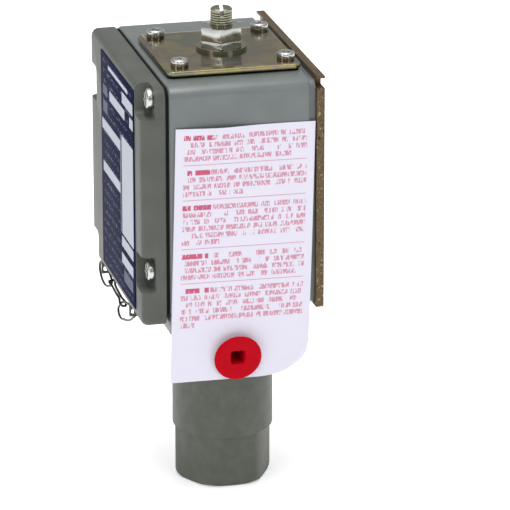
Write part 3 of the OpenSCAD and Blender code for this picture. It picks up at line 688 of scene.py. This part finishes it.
def makeActuator():
    f = actuatorFacts
    corner = f["flats"] / 2 / math.cos(math.radians(30))
    hexagon = alongZ("hexagon", corner, 0, 0, -1, f["hexTop"] + 6, 6)
    disc = alongZ("disc", f["hexRound"], 0, 0, 0, f["hexTop"] + 5, 96)
    bevelWhere(disc, atPlace(2, 0), f["mouthBevel"], 3)
    combine(hexagon, disc, "INTERSECT")
    barrel = alongZ("barrel", f["radius"], 0, 0, f["hexTop"], f["flangeZ"] + 1, 128)
    bevelWhere(barrel, atPlace(2, f["hexTop"]), f["barrelSoft"], 3)
    unite(barrel, hexagon)
    flange = alongZ("flange", f["flangeRadius"], 0, 0, f["flangeZ"], f["flangeTop"], 96)
    softenEdges(flange, 0.8, 2)
    unite(barrel, flange)
    boss = addRod("boss", f["bossRadius"], (8, f["drainY"], f["drainZ"]),
                  (f["bossX"], f["drainY"], f["drainZ"]))
    softenEdges(boss, 0.6, 2)
    unite(barrel, boss)
    unite(barrel, alongZ("neck", f["neckRadius"], 0, 0, f["flangeTop"] - 1, f["neckTop"], 96))
    bores = ((f["portRadius"], -1, f["portDepth"]), (f["passRadius"], f["portDepth"] - 1, f["portDepth"] + 3),
             (f["boreRadius"], f["portDepth"] + 2, f["boreTop"]),
             (f["rodRadius"], f["boreTop"] - 1, f["rodTop"]),
             (f["guideRadius"], f["guideLow"], f["neckTop"] + 1))
    for radius, low, high in bores:
        cut(barrel, alongZ("bore", radius, 0, 0, low, high, 48))
    cut(barrel, addRod("drain", f["drainRadius"], (0, f["drainY"], f["drainZ"]),
                       (f["bossX"] + 1, f["drainY"], f["drainZ"]), 48))
    finishPiece(barrel, "actuatorBarrel", "root", "actuator_enamel", ["actuator_body"], None, 30)


plugFacts = {
    "y": -4.6, "z": 71.6, "face": 47.4, "radius": 10.4, "thick": 1.7, "rimSoft": 0.75, "droop": 9.0,
    "dishRadius": 4.6, "dishMouth": 9.0, "dishDepth": 0.5, "recess": 4.3, "depth": 8.6, "recessTurn": 45,
    "recessShares": (0.78, 0.95), "recessSoft": 1.2, "mouthShares": (0.93, 1.36), "mouthSoft": 1.3,
    "tip": 37.4, "tipRadius": 3.65, "stemRadius": 4.1,
}


def makePlug():
    # Soft cap: a wide drooping flange with a rounded rim, a shallow dish and a dark square recess
    f = plugFacts
    centre = Vector((f["face"], f["y"], f["z"])) * 0.001

    def isSloping(a, b):
        return abs(a.z - b.z) > 1

    flange = alongZ("flange", f["radius"], 0, 0, 0, f["thick"], 96)
    bevelWhere(flange, isLevel, f["rimSoft"], 4)
    cut(flange, addRod("dish", f["dishRadius"], (0, 0, f["thick"] - f["dishDepth"]),
                       (0, 0, f["thick"] + f["dishDepth"]), 64, f["dishMouth"]))
    narrow, wide = [f["recess"] * share for share in f["recessShares"]]
    recess = addRod("recess", narrow, (0, 0, -f["depth"]), (0, 0, 0.4), 4, wide)
    bevelWhere(recess, isSloping, f["recessSoft"], 4)
    narrow, wide = [f["recess"] * share for share in f["mouthShares"]]
    mouth = addRod("mouth", narrow, (0, 0, 0.2), (0, 0, f["thick"] + 1), 4, wide)
    bevelWhere(mouth, isSloping, f["mouthSoft"], 4)
    unite(recess, mouth)
    recess.rotation_euler = (0, 0, math.radians(f["recessTurn"]))
    applyPlace(recess)
    flange.rotation_euler = (0, math.radians(90 + f["droop"]), 0)
    flange.location = centre
    applyPlace(flange)
    unite(flange, addRod("stem", f["tipRadius"], (f["tip"], f["y"], f["z"]),
                         (f["face"] + 0.6, f["y"], f["z"]), 48, f["stemRadius"]))
    recess.rotation_euler = (0, math.radians(90 + f["droop"] * 0.3), 0)
    recess.location = centre
    cut(flange, applyPlace(recess))
    softenEdges(flange, 0.2, 2, 50)
    return finishPiece(flange, "drainPlugCap", "drain_plug", "red_vinyl", ["drain_plug"], None, 40)


def makeTag():
    f = tagFacts
    deselectAll()
    bpy.ops.mesh.primitive_grid_add(x_subdivisions=f["cells"][0], y_subdivisions=f["cells"][1], size=1)
    sheet = bpy.context.object
    lean = math.radians(f["lean"])
    startY, startZ = f["curlFrom"]
    runY, runZ = f["curlTo"][0] - startY, f["curlTo"][1] - startZ
    length = math.hypot(runY, runZ)
    outY, outZ = runZ / length, -runY / length          # away from the flat part, towards the curled corner
    for point in sheet.data.vertices:
        across, up = point.co.x * f["width"], point.co.y * f["height"]
        y = f["midY"] + across * math.cos(lean) + up * math.sin(lean)
        z = f["midZ"] - across * math.sin(lean) * 0.5 + up * math.cos(lean)
        x = f["x"]
        beyond = (y - startY) * outY + (z - startZ) * outZ
        if beyond > 0:
            bend = beyond / f["curlRadius"]
            x -= f["curlRadius"] * (1 - math.cos(bend))
            slack = f["curlRadius"] * math.sin(bend) - beyond
            y += outY * slack
            z += outZ * slack
        top = max(0.0, (z - f["waveFrom"]) / f["waveRise"])
        x += f["waveHeight"] * top ** 2 * math.exp(-((y - f["waveY"]) / f["waveWidth"]) ** 2)
        x += f["ripple"] * (1 + math.sin(z / f["rippleZ"] + y / f["rippleY"]))
        point.co = Vector((x, y, z)) * 0.001
    makeActive(sheet)
    bpy.ops.object.mode_set(mode="EDIT")
    bpy.ops.mesh.select_mode(type="FACE")
    bpy.ops.mesh.select_all(action="DESELECT")
    bpy.ops.object.mode_set(mode="OBJECT")
    for face in sheet.data.polygons:
        away = math.hypot(face.center.y * 1000 - plugFacts["y"], face.center.z * 1000 - plugFacts["z"])
        face.select = away < f["holeRadius"]
    bpy.ops.object.mode_set(mode="EDIT")
    bpy.ops.mesh.delete(type="FACE")
    bpy.ops.object.mode_set(mode="OBJECT")
    if sum(face.normal.x for face in sheet.data.polygons) < 0:
        sheet.data.flip_normals()
    thick = sheet.modifiers.new("thick", "SOLIDIFY")
    thick.thickness = f["thick"] * 0.001
    thick.offset = -1
    bpy.ops.object.modifier_apply(modifier=thick.name)
    return finishPiece(sheet, "paperTag", "root", "tag_paper", ["hang_tag"], None, 60)


chainFacts = {
    "wire": 0.55,
    "links": {
        "chain_link_1": (
            (-45.2, -42.5, 84.6), (-52.0, -42.6, 84.0), (-57.5, -42.7, 82.2), (-57.8, -42.8, 79.4),
            (-55.4, -42.8, 76.9), (-51.2, -42.8, 75.6), (-46.0, -42.8, 75.5), (-40.2, -42.7, 77.1),
            (-35.2, -42.5, 79.4), (-33.8, -42.4, 81.3), (-37.0, -42.3, 82.8), (-41.0, -42.4, 84.2)),
        "chain_link_2": (
            (-35.6, -42.5, 81.1), (-34.0, -41.4, 81.8), (-29.5, -41.8, 81.1), (-22.6, -41.9, 80.5),
            (-15.2, -41.9, 80.1), (-9.2, -41.4, 79.4), (-7.0, -42.5, 79.1), (-9.2, -43.6, 79.1),
            (-15.2, -43.1, 79.8), (-22.6, -43.1, 80.1), (-29.5, -43.2, 80.7), (-34.0, -43.6, 81.4)),
        "chain_link_3": (
            (-8.8, -42.6, 80.4), (-15.4, -42.7, 76.8), (-18.6, -42.8, 73.2), (-15.6, -42.8, 71.4),
            (-7.0, -42.7, 72.9), (3.4, -42.6, 76.2), (10.8, -42.5, 80.0), (14.9, -42.5, 83.0),
            (14.4, -42.5, 84.7), (9.0, -42.5, 84.0), (-0.6, -42.5, 82.6)),
    },
}


def meshOf(curve):
    wire = bpy.data.objects.new("wire", curve)
    bpy.context.scene.collection.objects.link(wire)
    makeActive(wire)
    bpy.ops.object.convert(target="MESH")
    return bpy.context.object


def makeChain():
    for node, places in chainFacts["links"].items():
        curve = bpy.data.curves.new(node, "CURVE")
        curve.dimensions = "3D"
        line = curve.splines.new("BEZIER")
        line.bezier_points.add(len(places) - 1)
        for point, place in zip(line.bezier_points, places):
            point.co = Vector(place) * 0.001
            point.handle_left_type = point.handle_right_type = "AUTO"
        line.use_cyclic_u = True
        line.resolution_u = 6
        curve.bevel_depth = chainFacts["wire"] * 0.001
        curve.bevel_resolution = 4
        name = node.replace("chain_link_", "chainWire")
        finishPiece(meshOf(curve), name, "chain", "bright_zinc", [node], chainSteel, 60)


springFacts = {"radius": 8.6, "wire": 1.2, "low": 116.3, "rise": 51.4, "turns": 7, "perTurn": 24,
               "evenShare": 0.14, "bendFrom": 117.8, "bendTo": 166.2}


def makeSpring():
    # Closed end coils: the end turns rise only slightly, and the turns between take most of the rise
    f = springFacts
    curve = bpy.data.curves.new("springWire", "CURVE")
    curve.dimensions = "3D"
    line = curve.splines.new("POLY")
    steps = f["turns"] * f["perTurn"]
    line.points.add(steps)
    for i, point in enumerate(line.points):
        share, turn = i / steps, 2 * math.pi * i / f["perTurn"]
        lift = min(max((share * f["turns"] - 1) / (f["turns"] - 2), 0), 1)
        height = f["low"] + f["rise"] * (lift * (1 - f["evenShare"]) + share * f["evenShare"])
        centre = Vector((f["radius"] * math.cos(turn), f["radius"] * math.sin(turn), height)) * 0.001
        point.co = (*centre, 1)
    curve.bevel_depth = f["wire"] * 0.001
    curve.bevel_resolution = 3
    curve.use_fill_caps = True
    spring = meshOf(curve)
    bpy.ops.object.mode_set(mode="EDIT")
    bpy.ops.mesh.select_all(action="SELECT")
    bpy.ops.mesh.remove_doubles(threshold=0.00001)
    bpy.ops.mesh.normals_make_consistent(inside=False)
    bpy.ops.object.mode_set(mode="OBJECT")
    finishPiece(spring, "rangeSpringCoil", None, "spring_steel", ["range_spring"], None, 50)
    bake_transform(spring)


makeHousing()
makeCover()
print("stage: enclosure modelled")
makeNameplate()
makeScrews()
makeNut()
makeTopPlate()
print("stage: plates and fasteners modelled")
makeActuator()
plug = makePlug()
tag = makeTag()
makeChain()
makeSpring()
print("stage: actuator, tag and chain modelled")


def makeStage():
    deselectAll()
    bpy.ops.mesh.primitive_plane_add(size=80, location=(0, 0, -0.0002))
    floor = bpy.context.object
    floor.name = "paleFloor"
    material, shader = startMaterial("palePaper", {
        "Base Color": linearColour("#f4f4f4"), "Roughness": 0.9,
        "Emission Color": linearColour("#ffffff"), "Emission Strength": 0.36})
    floor.data.materials.append(material)


def addLight(name, place, target, size, power, colour="#ffffff"):
    deselectAll()
    bpy.ops.object.light_add(type="AREA", location=place)
    light = bpy.context.object
    light.name = name
    light.data.shape = "RECTANGLE"
    light.data.size, light.data.size_y = size
    light.data.energy = power
    light.data.color = linearColour(colour)[:3]
    light.rotation_euler = (Vector(place) - Vector(target)).to_track_quat("Z", "Y").to_euler()


def makeLights():
    world = bpy.data.worlds.new("softWorld")
    bpy.context.scene.world = world
    world.use_nodes = True
    sky = world.node_tree.nodes["Background"]
    place = addNode(world, "ShaderNodeTexCoord")
    split = addNode(world, "ShaderNodeSeparateXYZ", None, {"Vector": (place, "Generated")})
    ramp = addNode(world, "ShaderNodeValToRGB", None, {"Fac": (split, "Z")})
    # White at the horizon, dim just above it, bright overhead
    stops = ((0.075, 1.0), (0.09, 0.22), (0.9, 0.95))
    points = ramp.color_ramp.elements
    points.new(stops[1][0])
    for point, (height, value) in zip(points, stops):
        point.position, point.color = height, grey(value)
    link(world, ramp, "Color", sky, "Color")
    sky.inputs["Strength"].default_value = 1.0
    addLight("topPanel", place=(0.1, -0.2, 2.2), target=(0, 0, 0.1), size=(2.4, 2.4), power=24)
    addLight("topStrip", place=(0.55, -0.15, 1.7), target=(0, 0, 0.15), size=(0.2, 1.3), power=13)
    addLight("frontPanel", place=(1.7, 0.9, 0.9), target=(0, 0, 0.12), size=(0.5, 1.2), power=3.2,
             colour="#e2eaff")
    addLight("sideStrip", place=(0.9, -1.5, 0.7), target=(0, 0, 0.14), size=(0.25, 1.4), power=3.5)


def makeCamera():
    azimuth, elevation, distance = math.radians(76), math.radians(19.13), 1.7566
    aimHeight, aimRight, frameWidth, lens, farEnd = 0.10167, 0.01452, 36, 282.35294, 100
    back = Vector((math.sin(azimuth) * math.cos(elevation), -math.cos(azimuth) * math.cos(elevation),
                   math.sin(elevation)))
    right = Vector((math.cos(azimuth), math.sin(azimuth), 0))
    bpy.ops.object.camera_add(location=Vector((0, 0, aimHeight)) + back * distance + right * aimRight)
    camera = bpy.context.object
    camera.data.sensor_width = frameWidth
    camera.data.lens = lens
    camera.data.clip_end = farEnd
    camera.rotation_euler = back.to_track_quat("Z", "Y").to_euler()
    bpy.context.scene.camera = camera


makeStage()
makeLights()
makeCamera()
bpy.context.scene.view_settings.view_transform = "Standard"
print("stage: floor, lights and camera set")
